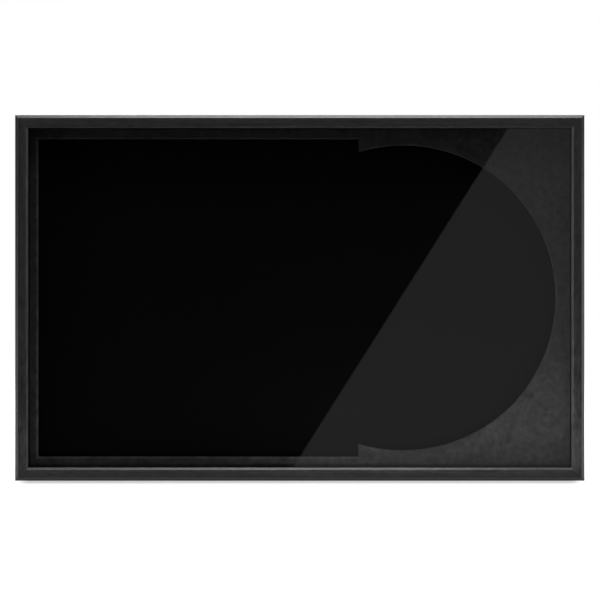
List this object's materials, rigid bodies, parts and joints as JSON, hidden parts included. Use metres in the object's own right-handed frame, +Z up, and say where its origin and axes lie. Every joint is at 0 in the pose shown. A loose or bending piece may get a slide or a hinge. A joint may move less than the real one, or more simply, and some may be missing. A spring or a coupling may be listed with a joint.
{
  "type": "record display frame",
  "caption": "Glazed black frame whose window mat shows a record sleeve and the record beside it; the back panel is held by turn buttons.",
  "frame": {"origin": "middle of the footprint, at the bottom rail's lower face", "axes": "+X to the viewer's right along the frame, +Y from the glazed front to the back, +Z up"},
  "size_m": [0.5508, 0.037, 0.3538],
  "materials": {
    "rail": "satin",
    "glazing": "polished",
    "spacer": "matte",
    "mat": "matte",
    "nest": "matte",
    "lining": "matte",
    "panel": "matte",
    "hardware": "satin",
    "nail": "satin",
    "bumper": "matte"
  },
  "bodies": {
    "frame": {"top_rail": "rail", "right_rail": "rail", "bottom_rail": "rail", "left_rail": "rail", "corner_nail_top_left": "nail", "corner_nail_top_right": "nail", "corner_nail_bottom_left": "nail", "corner_nail_bottom_right": "nail", "glazing": "glazing", "spacer_top": "spacer", "spacer_right": "spacer", "spacer_bottom": "spacer", "spacer_left": "spacer", "window_mat": "mat", "record_nest": "nest", "button_screw_top_left": "hardware", "button_screw_top_right": "hardware", "button_screw_right": "hardware", "button_screw_bottom_right": "hardware", "button_screw_bottom_left": "hardware", "button_screw_left": "hardware", "wall_bumper_top_left": "bumper", "wall_bumper_top_right": "bumper", "wall_bumper_bottom_left": "bumper", "wall_bumper_bottom_right": "bumper"},
    "back_panel": {"back_panel": "panel", "panel_lining": "lining", "hanger_strap_left": "hardware", "hanger_strap_right": "hardware", "hanger_rivet_left": "hardware", "hanger_rivet_right": "hardware"},
    "button_top_left": {"turn_button_top_left": "hardware"},
    "button_top_right": {"turn_button_top_right": "hardware"},
    "button_right": {"turn_button_right": "hardware"},
    "button_bottom_right": {"turn_button_bottom_right": "hardware"},
    "button_bottom_left": {"turn_button_bottom_left": "hardware"},
    "button_left": {"turn_button_left": "hardware"},
    "ring_left": {"hanger_ring_left": "hardware"},
    "ring_right": {"hanger_ring_right": "hardware"}
  },
  "joints": [
    {"name": "panel_slide", "type": "slide", "parent": "frame", "child": "back_panel", "axis": [0, 1, 0], "range_m": [0, 0.08]},
    {"name": "button_top_left_turn", "type": "hinge", "parent": "frame", "child": "button_top_left", "pos_m": [-0.13772, 0.0142, 0.3498], "axis": [0, 1, 0], "continuous": true},
    {"name": "button_top_right_turn", "type": "hinge", "parent": "frame", "child": "button_top_right", "pos_m": [0.13772, 0.0142, 0.3498], "axis": [0, 1, 0], "continuous": true},
    {"name": "button_right_turn", "type": "hinge", "parent": "frame", "child": "button_right", "pos_m": [0.27145, 0.0142, 0.1769], "axis": [0, 1, 0], "continuous": true},
    {"name": "button_bottom_right_turn", "type": "hinge", "parent": "frame", "child": "button_bottom_right", "pos_m": [0.13772, 0.0142, 0.004], "axis": [0, 1, 0], "continuous": true},
    {"name": "button_bottom_left_turn", "type": "hinge", "parent": "frame", "child": "button_bottom_left", "pos_m": [-0.13772, 0.0142, 0.004], "axis": [0, 1, 0], "continuous": true},
    {"name": "button_left_turn", "type": "hinge", "parent": "frame", "child": "button_left", "pos_m": [-0.27145, 0.0142, 0.1769], "axis": [0, 1, 0], "continuous": true},
    {"name": "ring_left_swing", "type": "hinge", "parent": "back_panel", "child": "ring_left", "pos_m": [-0.18455, 0.0157, 0.2869], "axis": [1, 0, 0], "range_deg": [0, 180]},
    {"name": "ring_right_swing", "type": "hinge", "parent": "back_panel", "child": "ring_right", "pos_m": [0.18455, 0.0157, 0.2869], "axis": [1, 0, 0], "range_deg": [0, 180]}
  ]
}
